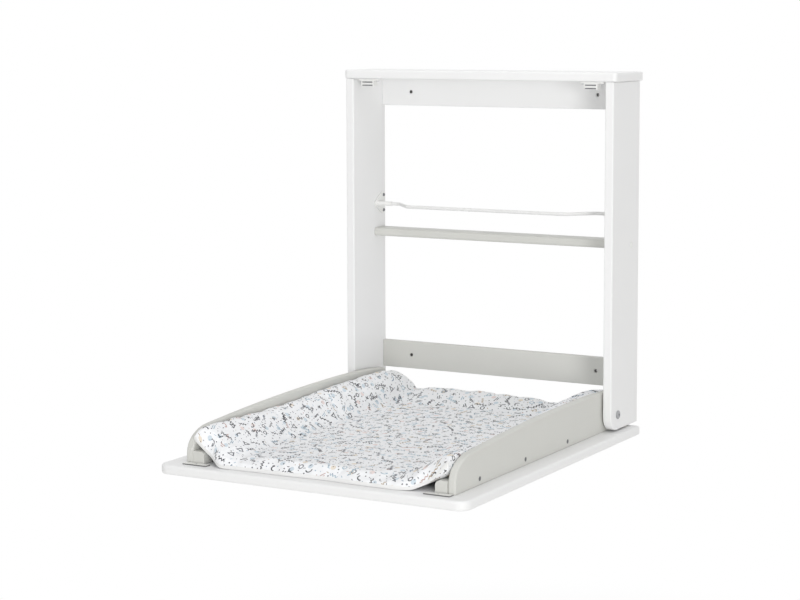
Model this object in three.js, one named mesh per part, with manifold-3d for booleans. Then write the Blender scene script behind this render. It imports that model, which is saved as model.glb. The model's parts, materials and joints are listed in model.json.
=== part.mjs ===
// Wall-hung folding changing table: an open frame on the wall and a padded board that folds down from it.
// Millimetres, +Z up. X runs along the wall, the wall is the plane Y = 0 and the room lies towards -Y.
// Heights are counted from the lower ends of the side panels. The finished group is then lowered, so that
// the origin lies on the wall face of the upper rail, in its middle.
import * as THREE from 'three';
import { mergeVertices } from 'three/addons/utils/BufferGeometryUtils.js';
import Module from 'manifold-3d';

const wasm = await Module();
wasm.setup();

// Clearances
const jointGap = 0.3; // between pieces that sit on or in one another
const boreGap = 0.3; // round a fastener, on the radius
const closedGap = 0.5; // between the closed board and the panels' front edges
const softGap = 0.8; // between the mat and the wood beside it

// Frame
const frameWidth = 600;
const panelThickness = 18;
const panelDepth = 130;
const panelHeight = 682;
const panelCornerRadius = 30;
const panelEdgeRound = 2.5;
const topThickness = 18;
const topOverhang = 5;
const topCornerRadius = 9;
const topEdgeRound = 3;
const railThickness = 12;
const railHeight = 57.5;
const railEdgeRound = 2;
const lowerRailBottom = 68.2;
const shelfDepth = 46.5;
const shelfThickness = 17;
const shelfBottom = 351.1;
const shelfEdgeRound = 5;

// Wall-screw holes in the two rails
const wallHoleFromPanel = 68.5;
const wallHoleRadius = 2.8;
const wallSinkRadius = 5;
const wallSinkDepth = 2.4;

// Guard wire over the shelf, and its sockets on the panels
const wireRadius = 2.8;
const wireAboveShelf = 51.3;
const wireEndFromWall = 41;
const wireForward = 50; // the long middle stands this far ahead of the ends
const wireBendFromPanel = 58;
const wireBendRun = 46;
const wireBendRound = 7;
const socketPlateThickness = 4;
const socketPlateCorner = 6.5;
const socketTubeWall = 1.5;
const socketLength = 39;
const socketBoreDepth = 30;
const socketRibThickness = 5;
const socketRibLength = 29;
const socketScrewFromWall = 15.5;
const socketScrewSpacing = 32;

// Magnetic catches under the top board
const catchFromPanel = 32; // middle of the catch
const catchBodyWidth = 29;
const catchBodyHeight = 14.6;
const catchBodyDepth = 16;
const catchEarSpan = 52;
const catchEarThickness = 3;
const catchScrewSpacing = 40;
const poleWidth = 23;
const poleThickness = 1.6;
const polePitch = 6.4;
const poleDepth = 12;
const poleLip = 0.8; // the poles stand this far ahead of their housing
const lowerPoleAboveFloor = 1.9; // middle of the lower pole over the housing's underside
const magnetSetBack = 4; // behind a web of the housing between the poles
const keeperLength = 52;
const keeperDepth = 15;
const keeperAhead = 2; // nearer to the front of the board than the middle of the poles
const keeperThickness = 1.5;
const keeperHoldGap = 0.4; // between the keeper and the poles when the board is closed

// Pivot
const pivotFromFront = 32.5;
const pivotSpacer = 3; // flange of the bush, between panel and cheek
const boltHeadRadius = 8.5;
const boltHeadThickness = 2.8;
const boltRadius = 4;
const boltSocketRadius = 3;
const boltSocketDepth = 1.8;
const bushWall = 1.8;
const bushFlangeRadius = 12;
const insertWall = 1.8;
const insertLength = 11;
const pivotSides = 20;

// Folding board
const boardDrop = 3; // from the panels' lower ends down to the board's top
const boardThickness = 18;
const boardSideLip = 17.5; // the board stands this far beyond the panels' outer faces
const boardFromWall = 22;
const boardLip = 2.5; // the closed board stands this far above the top board
const boardFrontCorner = 22;
const boardRearCorner = 8;
const boardEdgeRound = 5;
const stopPadRadius = 7;
const stopPadFromWall = 46;

// Cheeks and battens on the board
const cheekThickness = 15;
const cheekFromWall = 31;
const cheekEdgeRound = 3.5;
const cheekNoseRise = 17; // straight front edge, over the board
const cheekShoulderRun = 61;
const cheekShoulderRise = 62.5;
const cheekCrestFromRear = 174.5;
const cheekCrestRise = 80.5;
const cheekTailRise = 73.5;
const cheekTailRound = 11;
const cheekFootGap = 1.6; // under the catch housing when the board is closed
const battenWidth = 24;
const battenHeight = 22.5;
const battenRound = 9;
const battenRearGap = 102.5; // the batten ends this far ahead of the cheek's rear end

// Screws
const screwSides = 10;
const screwTip = 4;
const woodScrewHeadRadius = 4.2;
const woodScrewRadius = 2.2;
const cheekScrewLength = 33;
const cheekScrewRise = 11.4; // over the board
const cheekScrewFirst = 90; // from the cheek's front
const cheekScrewPitch = 180;
const battenScrewLength = 36;
const battenScrewFirst = 180;
const battenScrewPitch = 180;
const smallScrewHeadRadius = 3.4;
const smallScrewHeadHeight = 2.2;
const smallScrewRadius = 1.7;
const smallScrewLength = 13;
const shelfScrewHeadRadius = 4.5;
const shelfScrewRadius = 2.6;
const shelfScrewLength = 50;
const shelfScrewFromWall = 38;
const capRadius = 6.5;
const capHeight = 1.6;

// Changing mat
const matThickness = 18.5;
const matFrontReach = 15; // ahead of the cheeks' front ends, beside the flat middle
const matFrontDraw = 4; // the middle of the front edge is drawn in this far
const matCornerBack = 1.5; // the raised front corners stay this far behind the cheeks' front ends
const matRearFromWall = 29;
const matRaisedFront = 105.4; // width of each raised side, from the cheek to the flat middle
const matRaisedRear = 76.4;
const matLeanWidth = 68.4; // of what is clear of the board, under each raised side
const matFootSoftness = 0.12; // how softly the raised sides leave the flat
const matSideRiseFront = 65; // crest of the raised sides over the board
const matSideRiseRear = 76;
const matSideRound = 18; // from the crest down to the cheek
const matRearRise = 37;
const matRearRun = 95;
const matCrown = 1.5;
const matRimRound = 10;
const matFrontRound = 26;
const matHemThickness = 8;
const matHemLift = 0.12; // share of the thickness lost at the hem that the underside gives up
const matColumns = 27;
const matRows = 19;

// Planes and axes that several pieces share
const innerHalf = frameWidth / 2 - panelThickness;
const wireBendStart = innerHalf - wireBendFromPanel;
const catchFromMiddle = innerHalf - catchFromPanel;
const boardHalfWidth = frameWidth / 2 + boardSideLip;
const topUnderside = panelHeight + jointGap;
const topSurface = topUnderside + topThickness;
const upperRailBottom = panelHeight - railHeight;
const originHeight = upperRailBottom + railHeight / 2;
const shelfTop = shelfBottom + shelfThickness;
const boardTop = -boardDrop;
const boardUnderside = boardTop - boardThickness;
const pivotY = -(panelDepth - pivotFromFront);
const pivotZ = boardTop + pivotY + panelDepth + closedGap;
const cheekOuter = innerHalf - pivotSpacer - 2 * jointGap;
const cheekInner = cheekOuter - cheekThickness;
const battenOuter = cheekInner - jointGap;
const battenInner = battenOuter - battenWidth;
const matFlatHalf = cheekInner - matRaisedFront;
const matBottomHalf = cheekInner - matLeanWidth;
const catchFloor = topUnderside - jointGap - catchBodyHeight;
const lowerPoleZ = catchFloor + lowerPoleAboveFloor;
const poleFront = -panelDepth - closedGap + keeperThickness + jointGap + keeperHoldGap;
const catchFront = poleFront + poleLip;
const bushRadius = boltRadius + boreGap + bushWall;
const insertRadius = boltRadius + boreGap + insertWall;

// The place on the open board that meets the height given when the board is closed
const openYAt = (closedHeight) => pivotY - (closedHeight - pivotZ);
const boardFront = openYAt(topSurface + boardLip);
const cheekFront = openYAt(catchFloor - cheekFootGap);
const cheekRear = -cheekFromWall;
const keeperMiddleY = openYAt(lowerPoleZ + polePitch / 2) - keeperAhead;

// Finishes seen on the object
const finishes = {
  white: { color: 0xf0f0ee, roughness: 0.42, metalness: 0 },
  grey: { color: 0xc8c7c1, roughness: 0.48, metalness: 0 },
  plastic: { color: 0xf3f3f1, roughness: 0.38, metalness: 0 },
  wire: { color: 0xefefed, roughness: 0.35, metalness: 0.1 },
  steel: { color: 0x9a9c9f, roughness: 0.35, metalness: 0.9 },
  darkSteel: { color: 0x56585b, roughness: 0.45, metalness: 0.8 },
  magnet: { color: 0x38383c, roughness: 0.7, metalness: 0.1 },
  nylon: { color: 0xe4e2da, roughness: 0.5, metalness: 0 },
  brass: { color: 0xb8994f, roughness: 0.4, metalness: 0.9 },
  felt: { color: 0xb4b2aa, roughness: 0.95, metalness: 0 },
  cotton: { color: 0xe8e9ed, roughness: 0.85, metalness: 0 },
};

const changingTable = new THREE.Group();
const frame = new THREE.Group();
const board = new THREE.Group();
changingTable.add(frame, board);

const sides = [['left', -1], ['right', 1]];

function addPiece(group, name, geometry, finish) {
  const mesh = new THREE.Mesh(geometry, new THREE.MeshStandardMaterial(finishes[finish]));
  mesh.name = name;
  group.add(mesh);
}

// Keeps positions only, with shared corners merged and triangles of no area left out.
function closed(geometry) {
  const bare = geometry.index ? geometry.toNonIndexed() : geometry;
  const positions = new THREE.BufferGeometry().setAttribute('position', bare.getAttribute('position'));
  const merged = mergeVertices(positions, 1e-4);
  const kept = [];
  for (let i = 0; i < merged.index.count; i += 3) {
    const [a, b, c] = [0, 1, 2].map((k) => merged.index.getX(i + k));
    if (a !== b && b !== c && c !== a) kept.push(a, b, c);
  }
  merged.setIndex(kept);
  return merged;
}

function solidOf(geometry) {
  const g = closed(geometry);
  const vertProperties = g.getAttribute('position').array;
  const triVerts = new Uint32Array(g.index.array);
  return new wasm.Manifold(new wasm.Mesh({ numProp: 3, vertProperties, triVerts }));
}

function geometryOf(solid) {
  const { vertProperties, triVerts } = solid.getMesh();
  const g = new THREE.BufferGeometry();
  g.setAttribute('position', new THREE.BufferAttribute(vertProperties, 3));
  g.setIndex(new THREE.BufferAttribute(triVerts, 1));
  return g;
}

function cut(geometry, tools) {
  return geometryOf(tools.reduce((solid, tool) => solid.subtract(solidOf(tool)), solidOf(geometry)));
}

function joined(...geometries) {
  return geometryOf(geometries.map(solidOf).reduce((a, b) => a.add(b)));
}

// A rectangle with its own radius at each corner, in the order low-low, high-low, high-high, low-high.
function roundedRectangle(x0, y0, x1, y1, radii) {
  const [a, b, c, d] = radii;
  const shape = new THREE.Shape();
  shape.moveTo(x0 + a, y0);
  shape.lineTo(x1 - b, y0);
  if (b > 0) shape.absarc(x1 - b, y0 + b, b, -Math.PI / 2, 0);
  shape.lineTo(x1, y1 - c);
  if (c > 0) shape.absarc(x1 - c, y1 - c, c, 0, Math.PI / 2);
  shape.lineTo(x0 + d, y1);
  if (d > 0) shape.absarc(x0 + d, y1 - d, d, Math.PI / 2, Math.PI);
  shape.lineTo(x0, y0 + a);
  if (a > 0) shape.absarc(x0 + a, y0 + a, a, Math.PI, 1.5 * Math.PI);
  return shape;
}

// Extrudes a shape from low to high along its own normal, with the edges of both ends rounded.
function slab(shape, low, high, edgeRound, curveSegments = 5) {
  const geometry = new THREE.ExtrudeGeometry(shape, {
    depth: high - low - 2 * edgeRound,
    bevelEnabled: edgeRound > 0,
    bevelThickness: edgeRound,
    bevelSize: edgeRound,
    bevelOffset: -edgeRound,
    bevelSegments: 3,
    curveSegments,
  });
  return geometry.translate(0, 0, low + edgeRound);
}

const axisX = new THREE.Vector3(1, 0, 0);
const axisY = new THREE.Vector3(0, 1, 0);
const axisZ = new THREE.Vector3(0, 0, 1);

// The shape is drawn in Y and Z, and runs along X.
function slabAlongX(shape, x0, x1, edgeRound, curveSegments) {
  const turn = new THREE.Matrix4().makeBasis(axisY, axisZ, axisX);
  return slab(shape, x0, x1, edgeRound, curveSegments).applyMatrix4(turn);
}

// The shape is drawn in X and Z, and runs along Y.
function slabAlongY(shape, y0, y1, edgeRound) {
  const turn = new THREE.Matrix4().makeBasis(axisX, axisZ, axisY.clone().negate());
  return slab(shape, -y1, -y0, edgeRound).applyMatrix4(turn);
}

function block(x0, x1, y0, y1, z0, z1) {
  const geometry = new THREE.BoxGeometry(x1 - x0, y1 - y0, z1 - z0);
  return geometry.translate((x0 + x1) / 2, (y0 + y1) / 2, (z0 + z1) / 2);
}

// Turns a profile of [radius, height] pairs about an axis that starts at a place and runs in a direction.
function turned(profile, at, direction, segments = screwSides) {
  const points = profile.map(([r, h]) => new THREE.Vector2(r, h));
  const geometry = new THREE.LatheGeometry(points, segments);
  const turn = new THREE.Quaternion().setFromUnitVectors(axisY, direction);
  return closed(geometry.applyQuaternion(turn).translate(at.x, at.y, at.z));
}

const at = (x, y, z) => new THREE.Vector3(x, y, z);
const towards = (x, y, z) => new THREE.Vector3(x, y, z);

// A screw with a sunk head whose face is flush with the surface at its place.
function sunkScrew(headRadius, radius, length, place, direction) {
  const headDepth = headRadius - radius;
  const profile = [[0, 0], [headRadius, 0], [radius, headDepth], [radius, length - screwTip], [0, length]];
  return turned(profile, place, direction);
}

// The hole for such a screw, open at the surface.
function sunkHole(headRadius, radius, length, place, direction) {
  const bore = radius + boreGap;
  const sink = headRadius + boreGap;
  const sinkDepth = sink - bore + boreGap;
  const end = length + 1;
  const profile = [[0, -1], [sink, -1], [sink, boreGap], [bore, sinkDepth], [bore, end], [0, end]];
  return turned(profile, place, direction);
}

// A screw with a low round head that stands on the surface.
function panScrew(headRadius, headHeight, radius, length, place, direction) {
  const profile = [
    [0, -headHeight], [headRadius * 0.6, -headHeight], [headRadius, -headHeight * 0.4], [headRadius, 0],
    [radius, 0], [radius, length - screwTip], [0, length],
  ];
  return turned(profile, place.clone().addScaledVector(direction, -jointGap), direction);
}

// A round bar between two distances from its place. It also cuts plain holes.
function rod(radius, from, to, place, direction, segments = screwSides) {
  return turned([[0, from], [radius, from], [radius, to], [0, to]], place, direction, segments);
}

// Small screws with round heads hold the sockets and the catches, wood screws hold the cheeks and battens.
const smallScrew = (place, direction) =>
  panScrew(smallScrewHeadRadius, smallScrewHeadHeight, smallScrewRadius, smallScrewLength, place, direction);
const smallHole = (from, to, place, direction) =>
  rod(smallScrewRadius + boreGap, from, to, place, direction);
const woodScrew = (length, place, direction) =>
  sunkScrew(woodScrewHeadRadius, woodScrewRadius, length, place, direction);
const woodSink = (length, place, direction) =>
  sunkHole(woodScrewHeadRadius, woodScrewRadius, length, place, direction);
const woodHole = (from, to, place, direction) =>
  rod(woodScrewRadius + boreGap, from, to, place, direction);

// Side panels: the lower front corner is rounded about the pivot, so that the board can swing past it.
const pivotAt = (x) => at(x, pivotY, pivotZ);
const shelfScrewAt = (x) => at(x, -shelfScrewFromWall, shelfBottom + shelfThickness / 2);
const socketZ = shelfTop + wireAboveShelf;
const socketFaceX = innerHalf - jointGap - socketPlateThickness;
const socketScrewPlaces = (side) =>
  [0.5, -0.5].map((up) => at(side * socketFaceX, -socketScrewFromWall, socketZ + up * socketScrewSpacing));

for (const [name, side] of sides) {
  const outer = side * frameWidth / 2;
  const inner = side * innerHalf;
  const [x0, x1] = [Math.min(outer, inner), Math.max(outer, inner)];
  const outline = roundedRectangle(-panelDepth, 0, 0, panelHeight, [panelCornerRadius, 0, 0, 0]);
  const inwards = towards(-side, 0, 0);
  const outwards = towards(side, 0, 0);
  const holes = [
    rod(bushRadius + boreGap, -1, panelThickness + 1, pivotAt(outer), inwards, pivotSides),
    sunkHole(shelfScrewHeadRadius, shelfScrewRadius, shelfScrewLength, shelfScrewAt(outer), inwards),
    ...socketScrewPlaces(side).map((place) => smallHole(0, smallScrewLength, place, outwards)),
  ];
  addPiece(frame, `${name}_side_panel`, cut(slabAlongX(outline, x0, x1, panelEdgeRound), holes), 'white');
}

// Top board on the panels, with pilot holes for the catches
const topHalf = frameWidth / 2 + topOverhang;
const earUnderside = topUnderside - jointGap - catchEarThickness;
const catchMiddleY = catchFront + catchBodyDepth / 2;
const catchScrewPlaces = (middleX) =>
  [-0.5, 0.5].map((way) => at(middleX + way * catchScrewSpacing, catchMiddleY, earUnderside));
const catchPilots = sides.flatMap(([, side]) => catchScrewPlaces(side * catchFromMiddle))
  .map((place) => smallHole(0, smallScrewLength + 1, place, axisZ));
const topCorners = [topCornerRadius, topCornerRadius, 0, 0];
const topOutline = roundedRectangle(-topHalf, -panelDepth, topHalf, 0, topCorners);
const topSlab = slab(topOutline, topUnderside, topSurface, topEdgeRound);
addPiece(frame, 'top_board', cut(topSlab, catchPilots), 'white');

// Rails against the wall, with sunk holes for the wall screws
function rail(bottom) {
  const half = innerHalf - jointGap;
  const rounds = Array(4).fill(railEdgeRound);
  const outline = roundedRectangle(-railThickness, bottom, 0, bottom + railHeight, rounds);
  const holes = [-1, 1].map((way) => {
    const place = at(way * (innerHalf - wallHoleFromPanel), -railThickness, bottom + railHeight / 2);
    const profile = [
      [0, -1], [wallSinkRadius, -1], [wallSinkRadius, 0], [wallHoleRadius, wallSinkDepth],
      [wallHoleRadius, railThickness + 1], [0, railThickness + 1],
    ];
    return turned(profile, place, axisY, 16);
  });
  return cut(slabAlongX(outline, -half, half, 0), holes);
}
addPiece(frame, 'upper_rail', rail(upperRailBottom), 'white');
addPiece(frame, 'lower_rail', rail(lowerRailBottom), 'grey');

// Shelf between the panels, held by a screw at each end under a cover cap
const shelfHalf = innerHalf - jointGap;
const shelfOutline = roundedRectangle(-shelfDepth, shelfBottom, 0, shelfTop, Array(4).fill(shelfEdgeRound));
const shelfHoles = sides.map(([, side]) => rod(
  shelfScrewRadius + boreGap, panelThickness, shelfScrewLength + 1,
  shelfScrewAt(side * frameWidth / 2), towards(-side, 0, 0),
));
addPiece(frame, 'shelf', cut(slabAlongX(shelfOutline, -shelfHalf, shelfHalf, 0), shelfHoles), 'grey');

for (const [name, side] of sides) {
  const place = shelfScrewAt(side * frameWidth / 2);
  const inwards = towards(-side, 0, 0);
  const screw = sunkScrew(shelfScrewHeadRadius, shelfScrewRadius, shelfScrewLength, place, inwards);
  addPiece(frame, `${name}_shelf_screw`, screw, 'steel');
  const cap = [
    [0, jointGap], [capRadius, jointGap], [capRadius, capHeight / 2],
    [capRadius * 0.7, capHeight], [0, capHeight],
  ];
  addPiece(frame, `${name}_cover_cap`, turned(cap, place, towards(side, 0, 0), 16), 'plastic');
}

// Guard wire: its ends run straight into the sockets, and its long middle is set forward.
function guardWire() {
  const endX = socketFaceX - (socketLength - socketPlateThickness - socketBoreDepth) - jointGap;
  const bendEnd = wireBendStart - wireBendRun;
  const outerBend = at(wireBendStart, -wireEndFromWall, socketZ);
  const innerBend = at(bendEnd, -wireEndFromWall - wireForward, socketZ);
  const slant = innerBend.clone().sub(outerBend).setLength(wireBendRound);
  const straight = at(wireBendRound, 0, 0);
  const half = [
    at(endX, -wireEndFromWall, socketZ),
    outerBend.clone().add(straight).add(straight),
    outerBend.clone().add(straight),
    outerBend.clone().add(slant),
    innerBend.clone().sub(slant),
    innerBend.clone().sub(straight),
    innerBend.clone().sub(straight).sub(straight),
  ];
  const mirrored = half.map((q) => at(-q.x, q.y, q.z)).reverse();
  const path = new THREE.CatmullRomCurve3([...half, ...mirrored]);
  const round = new THREE.Shape().absarc(0, 0, wireRadius, 0, 2 * Math.PI);
  return closed(new THREE.ExtrudeGeometry(round, { steps: 96, curveSegments: 4, extrudePath: path }));
}
addPiece(frame, 'guard_wire', guardWire(), 'wire');

// A polygon, listed anticlockwise, whose corners are widened to arcs of one radius
function roundedPolygon(corners, radius) {
  const shape = new THREE.Shape();
  corners.forEach((corner, i) => {
    const before = corners.at(i - 1);
    const after = corners[(i + 1) % corners.length];
    const from = Math.atan2(corner[1] - before[1], corner[0] - before[0]) - Math.PI / 2;
    const to = Math.atan2(after[1] - corner[1], after[0] - corner[0]) - Math.PI / 2;
    shape.absarc(corner[0], corner[1], radius, from, to);
  });
  return shape;
}

// Wire sockets: a three-cornered plate on the panel, a tube for the wire's end and a rib behind the tube
function wireSocket(side) {
  const wallX = innerHalf - jointGap;
  const [x0, x1] = [side * socketFaceX, side * wallX].sort((a, b) => a - b);
  const tubeRadius = wireRadius + boreGap + socketTubeWall;
  const half = socketScrewSpacing / 2;
  const rearY = -socketScrewFromWall;
  const plateOutline = roundedPolygon(
    [[-wireEndFromWall, socketZ], [rearY, socketZ - half], [rearY, socketZ + half]], socketPlateCorner,
  );
  const foot = at(side * wallX, -wireEndFromWall, socketZ);
  const inwards = towards(-side, 0, 0);
  const tube = rod(tubeRadius, 0, socketLength, foot, inwards, 16);
  const ribFront = -wireEndFromWall + tubeRadius - socketTubeWall / 2;
  const ribOutline = new THREE.Shape([
    new THREE.Vector2(side * (wallX - 1), ribFront),
    new THREE.Vector2(side * (wallX - socketRibLength), ribFront),
    new THREE.Vector2(side * (wallX - 1), rearY),
  ]);
  const rib = slab(ribOutline, socketZ - socketRibThickness / 2, socketZ + socketRibThickness / 2, 0);
  const bore = rod(wireRadius + boreGap, socketLength - socketBoreDepth, socketLength + 1, foot, inwards, 16);
  const screwHoles = socketScrewPlaces(side).map((place) =>
    smallHole(-1, socketPlateThickness + 1, place, towards(side, 0, 0)));
  return cut(joined(slabAlongX(plateOutline, x0, x1, 0.8), tube, rib), [bore, ...screwHoles]);
}

for (const [name, side] of sides) {
  addPiece(frame, `${name}_wire_socket`, wireSocket(side), 'plastic');
  socketScrewPlaces(side).forEach((place, i) => {
    addPiece(frame, `${name}_socket_screw_${i + 1}`, smallScrew(place, towards(side, 0, 0)), 'darkSteel');
  });
}

// Magnetic catches: a housing with two ears, and a magnet between two steel poles
function catchHousing(middleX) {
  const bodyHalf = catchBodyWidth / 2;
  const rear = catchFront + catchBodyDepth;
  const ceiling = topUnderside - jointGap;
  const body = block(middleX - bodyHalf, middleX + bodyHalf, catchFront, rear, catchFloor, ceiling);
  const earHalf = catchEarSpan / 2;
  const earRound = catchBodyDepth / 2 - 0.5;
  const earOutline = roundedRectangle(
    middleX - earHalf, catchFront + jointGap, middleX + earHalf, rear - jointGap, Array(4).fill(earRound),
  );
  const ears = slab(earOutline, ceiling - catchEarThickness, ceiling, 0);
  const pocketHalf = poleWidth / 2 + jointGap;
  const pocketEnd = catchFront + poleDepth - poleLip + jointGap;
  const pocketReach = poleThickness / 2 + jointGap;
  const upperPoleZ = lowerPoleZ + polePitch;
  const poleSlots = [lowerPoleZ, upperPoleZ].map((z) => block(
    middleX - pocketHalf, middleX + pocketHalf, catchFront - 1, pocketEnd, z - pocketReach, z + pocketReach,
  ));
  const magnetRoom = block(
    middleX - pocketHalf, middleX + pocketHalf, poleFront + magnetSetBack - jointGap, pocketEnd,
    lowerPoleZ, upperPoleZ,
  );
  const holes = catchScrewPlaces(middleX)
    .map((place) => smallHole(-1, catchEarThickness + 1, place, axisZ));
  return cut(joined(body, ears), [...poleSlots, magnetRoom, ...holes]);
}

for (const [name, side] of sides) {
  const middle = side * catchFromMiddle;
  addPiece(frame, `${name}_catch_housing`, catchHousing(middle), 'plastic');
  const [x0, x1] = [middle - poleWidth / 2, middle + poleWidth / 2];
  for (const [place, poleZ] of [['lower', lowerPoleZ], ['upper', lowerPoleZ + polePitch]]) {
    const [z0, z1] = [poleZ - poleThickness / 2, poleZ + poleThickness / 2];
    const pole = block(x0, x1, poleFront, poleFront + poleDepth, z0, z1);
    addPiece(frame, `${name}_catch_${place}_pole`, pole, 'darkSteel');
  }
  const magnetLow = lowerPoleZ + poleThickness / 2 + jointGap;
  const magnetHigh = lowerPoleZ + polePitch - poleThickness / 2 - jointGap;
  const magnet = block(x0, x1, poleFront + magnetSetBack, poleFront + poleDepth, magnetLow, magnetHigh);
  addPiece(frame, `${name}_catch_magnet`, magnet, 'magnet');
  catchScrewPlaces(middle).forEach((place, i) => {
    addPiece(frame, `${name}_catch_screw_${i + 1}`, smallScrew(place, axisZ), 'steel');
  });
}

// Pivots: a bolt turns in a flanged bush in the panel and is screwed into an insert in the cheek.
const boltReach = panelThickness + pivotSpacer + 2 * jointGap + insertLength;
for (const [name, side] of sides) {
  const inwards = towards(-side, 0, 0);
  const place = pivotAt(side * frameWidth / 2);
  const bore = boltRadius + boreGap;
  const flange = panelThickness + jointGap;
  const flangeEnd = flange + pivotSpacer;
  const bush = [
    [bore, jointGap], [bushRadius, jointGap], [bushRadius, flange], [bushFlangeRadius, flange],
    [bushFlangeRadius, flangeEnd], [bore, flangeEnd], [bore, jointGap],
  ];
  addPiece(frame, `${name}_pivot_bush`, turned(bush, place, inwards, pivotSides), 'nylon');

  const insert = [
    [bore, jointGap], [insertRadius, jointGap], [insertRadius, insertLength],
    [bore, insertLength], [bore, jointGap],
  ];
  const insertPlace = pivotAt(side * cheekOuter);
  addPiece(board, `${name}_pivot_insert`, turned(insert, insertPlace, inwards, pivotSides), 'brass');

  const crown = boltHeadThickness + jointGap;
  const bolt = [
    [0, -crown], [boltHeadRadius * 0.7, -crown], [boltHeadRadius, -crown * 0.5],
    [boltHeadRadius, -jointGap], [boltRadius, -jointGap], [boltRadius, boltReach - 1],
    [boltRadius - 1, boltReach], [0, boltReach],
  ];
  const hexSocket = rod(boltSocketRadius, -crown - 1, boltSocketDepth - crown, place, inwards, 6);
  const boltBody = turned(bolt, place, inwards, pivotSides);
  addPiece(board, `${name}_pivot_bolt`, cut(boltBody, [hexSocket]), 'steel');
}

// Screw rows shared by the cheeks, the battens and the board
const cheekScrewYs = [0, 1, 2].map((i) => cheekFront + cheekScrewFirst + i * cheekScrewPitch);
const battenScrewYs = [0, 1, 2].map((i) => cheekFront + battenScrewFirst + i * battenScrewPitch);
const cheekScrewZ = boardTop + cheekScrewRise;
const cheekScrewAt = (side, y) => at(side * cheekOuter, y, cheekScrewZ);
const battenMiddleX = (battenOuter + battenInner) / 2;
const battenScrewAt = (side, y) => at(side * battenMiddleX, y, boardUnderside);
const keeperTop = boardTop + jointGap + keeperThickness;
const keeperScrewAt = (side) => at(side * catchFromMiddle, keeperMiddleY, keeperTop);
const down = axisZ.clone().negate();

// Folding board
const boardOutline = roundedRectangle(
  -boardHalfWidth, boardFront, boardHalfWidth, -boardFromWall,
  [boardFrontCorner, boardFrontCorner, boardRearCorner, boardRearCorner],
);
const boardHoles = sides.flatMap(([, side]) => [
  ...battenScrewYs.map((y) => woodSink(boardThickness + 1, battenScrewAt(side, y), axisZ)),
  smallHole(0, smallScrewLength + 1, keeperScrewAt(side), down),
]);
const boardSlab = slab(boardOutline, boardUnderside, boardTop, boardEdgeRound);
addPiece(board, 'folding_board', cut(boardSlab, boardHoles), 'white');

// Cheeks: upright at the front, arched along the top and falling towards the wall. The shape goes on
// below the foot, where it is cut square, so that only the other edges are rounded.
function cheekShape() {
  const foot = boardTop + jointGap;
  const shoulderY = cheekFront + cheekShoulderRun;
  const shoulderZ = foot + cheekShoulderRise;
  const crestY = cheekRear - cheekCrestFromRear;
  const crestZ = foot + cheekCrestRise;
  const tailZ = foot + cheekTailRise;
  const rise = 2 * (crestZ - shoulderZ) / (crestY - shoulderY); // slope of the top at the shoulder
  const lead = cheekShoulderRun * 0.42;
  const shape = new THREE.Shape();
  shape.moveTo(cheekRear, foot - 2 * cheekEdgeRound);
  shape.lineTo(cheekRear, tailZ - cheekTailRound);
  shape.quadraticCurveTo(cheekRear, tailZ - cheekTailRound / 4, cheekRear - cheekTailRound, tailZ);
  shape.quadraticCurveTo((crestY + cheekRear) / 2, crestZ, crestY, crestZ);
  shape.quadraticCurveTo((crestY + shoulderY) / 2, crestZ, shoulderY, shoulderZ);
  shape.bezierCurveTo(
    shoulderY - lead, shoulderZ - lead * rise,
    cheekFront, foot + cheekNoseRise + (cheekShoulderRise - cheekNoseRise) * 0.65,
    cheekFront, foot + cheekNoseRise,
  );
  shape.lineTo(cheekFront, foot - 2 * cheekEdgeRound);
  return shape;
}

for (const [name, side] of sides) {
  const [x0, x1] = [cheekInner, cheekOuter].map((x) => side * x).sort((a, b) => a - b);
  const inwards = towards(-side, 0, 0);
  const pivotPlace = pivotAt(side * cheekOuter);
  const foot = boardTop + jointGap;
  const belowFoot = block(x0 - 1, x1 + 1, cheekFront - 1, cheekRear + 1, foot - 3 * cheekEdgeRound, foot);
  const holes = [
    belowFoot,
    rod(insertRadius + boreGap, -1, insertLength + 1, pivotPlace, inwards, pivotSides),
    ...cheekScrewYs.map((y) => woodSink(cheekThickness + 1, cheekScrewAt(side, y), inwards)),
  ];
  addPiece(board, `${name}_cheek`, cut(slabAlongX(cheekShape(), x0, x1, cheekEdgeRound, 10), holes), 'grey');
}

// Battens in the corners between cheeks and board
for (const [name, side] of sides) {
  const foot = boardTop + jointGap;
  const [x0, x1] = [battenInner, battenOuter].map((x) => side * x).sort((a, b) => a - b);
  const radii = side > 0 ? [0, 0, 0, battenRound] : [0, 0, battenRound, 0];
  const outline = roundedRectangle(x0, foot, x1, foot + battenHeight, radii);
  const inwards = towards(-side, 0, 0);
  const holes = [
    ...battenScrewYs.map((y) =>
      woodHole(boardThickness - 1, battenScrewLength + 1, battenScrewAt(side, y), axisZ)),
    ...cheekScrewYs.map((y) =>
      woodHole(cheekThickness - 1, cheekScrewLength + 1, cheekScrewAt(side, y), inwards)),
  ];
  const batten = slabAlongY(outline, cheekFront, cheekRear - battenRearGap, 0);
  addPiece(board, `${name}_batten`, cut(batten, holes), 'grey');
}

for (const [name, side] of sides) {
  cheekScrewYs.forEach((y, i) => {
    const screw = woodScrew(cheekScrewLength, cheekScrewAt(side, y), towards(-side, 0, 0));
    addPiece(board, `${name}_cheek_screw_${i + 1}`, screw, 'darkSteel');
  });
  battenScrewYs.forEach((y, i) => {
    const screw = woodScrew(battenScrewLength, battenScrewAt(side, y), axisZ);
    addPiece(board, `${name}_batten_screw_${i + 1}`, screw, 'steel');
  });
}

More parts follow.
